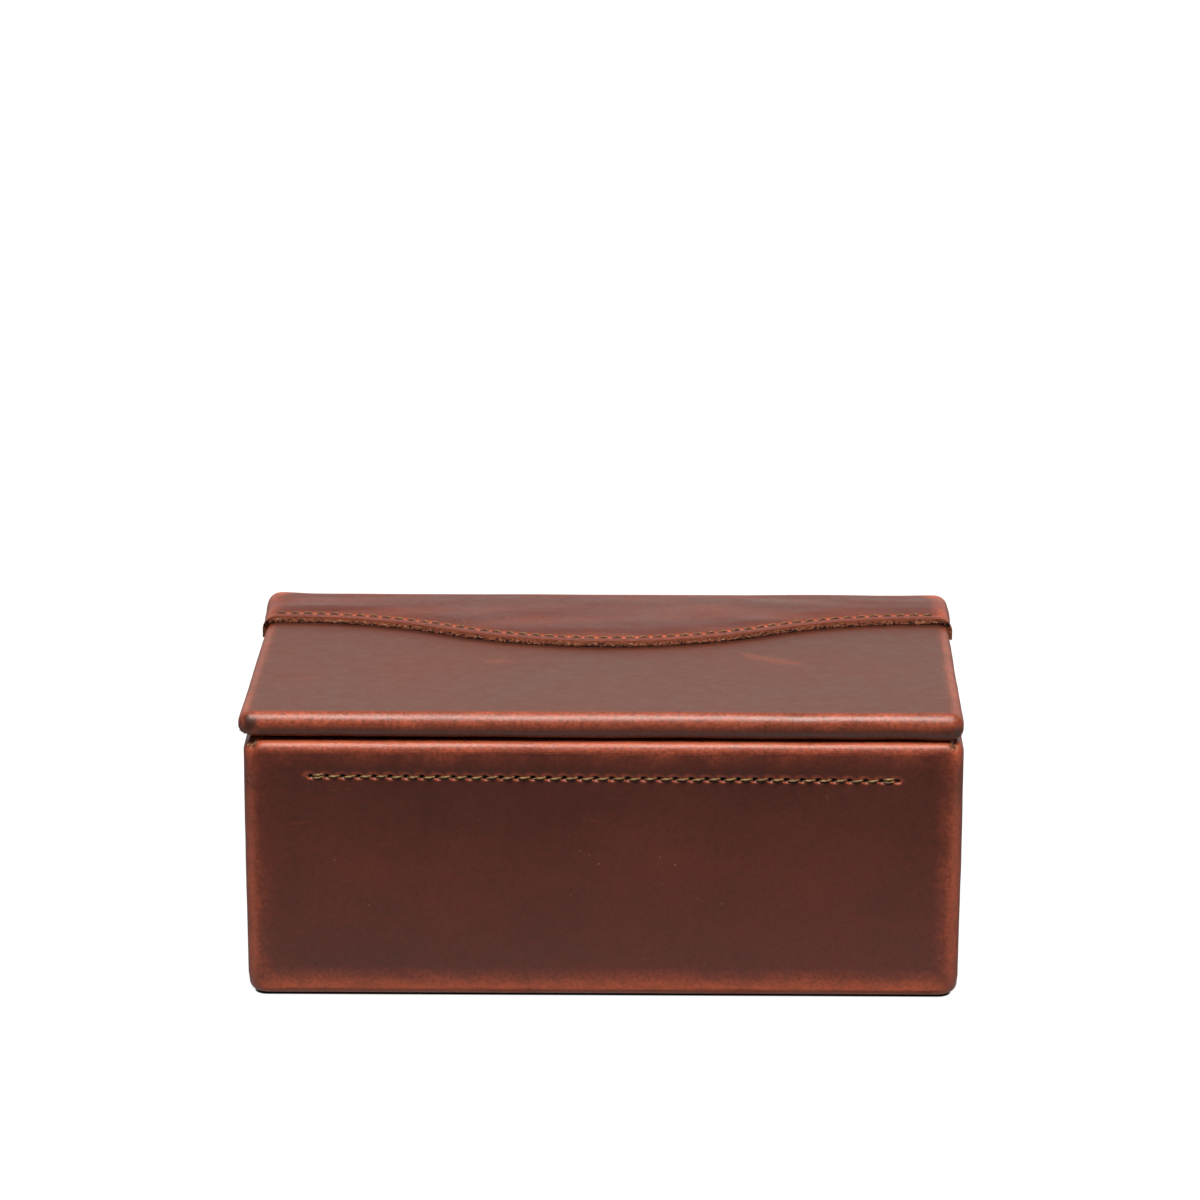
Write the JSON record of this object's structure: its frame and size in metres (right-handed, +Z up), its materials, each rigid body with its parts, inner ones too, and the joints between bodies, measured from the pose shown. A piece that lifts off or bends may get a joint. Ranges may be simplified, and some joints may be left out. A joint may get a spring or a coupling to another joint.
{
  "type": "leather organizer box",
  "caption": "Low rectangular desk box of thick waxed leather over boards, with a flat lid on a sewn leather hinge and lined compartments inside.",
  "frame": {"origin": "under the middle of the whole box, on the surface it stands on", "axes": "+X along the long side to the right as seen from the front, +Y from the front to the hinge at the back, +Z up"},
  "size_m": [0.2584, 0.143, 0.1087],
  "materials": {
    "core_board": "raw plywood, sanded edges",
    "box_leather": "waxed pull-up leather, dark red-brown, lighter along the folds, soft sheen",
    "hinge_leather": "the same waxed leather with raw cut edges and sewn dark thread",
    "base_leather": "rough flesh side, matt",
    "divider_leather": "thin smooth leather",
    "lining": "short-napped suede"
  },
  "bodies": {
    "box": {"bottom_board": "core_board", "front_board": "core_board", "back_board": "core_board", "left_board": "core_board", "right_board": "core_board", "wall_leather": "box_leather", "base_leather": "base_leather", "back_leather": "hinge_leather", "hinge_leather": "hinge_leather", "floor_lining": "lining", "front_lining": "lining", "back_lining": "lining", "left_lining": "lining", "right_lining": "lining", "left_divider_board": "core_board", "right_divider_board": "core_board", "left_divider_leather": "divider_leather", "right_divider_leather": "divider_leather"},
    "lid": {"lid_board": "core_board", "lid_leather": "box_leather", "lid_lining": "lining", "lid_flap": "hinge_leather"}
  },
  "joints": [
    {"name": "lid_hinge", "type": "hinge", "parent": "box", "child": "lid", "pos_m": [0, 0.0705, 0.09655], "axis": [-1, 0, 0], "range_deg": [0, 110], "deforming": ["hinge_leather"]}
  ]
}
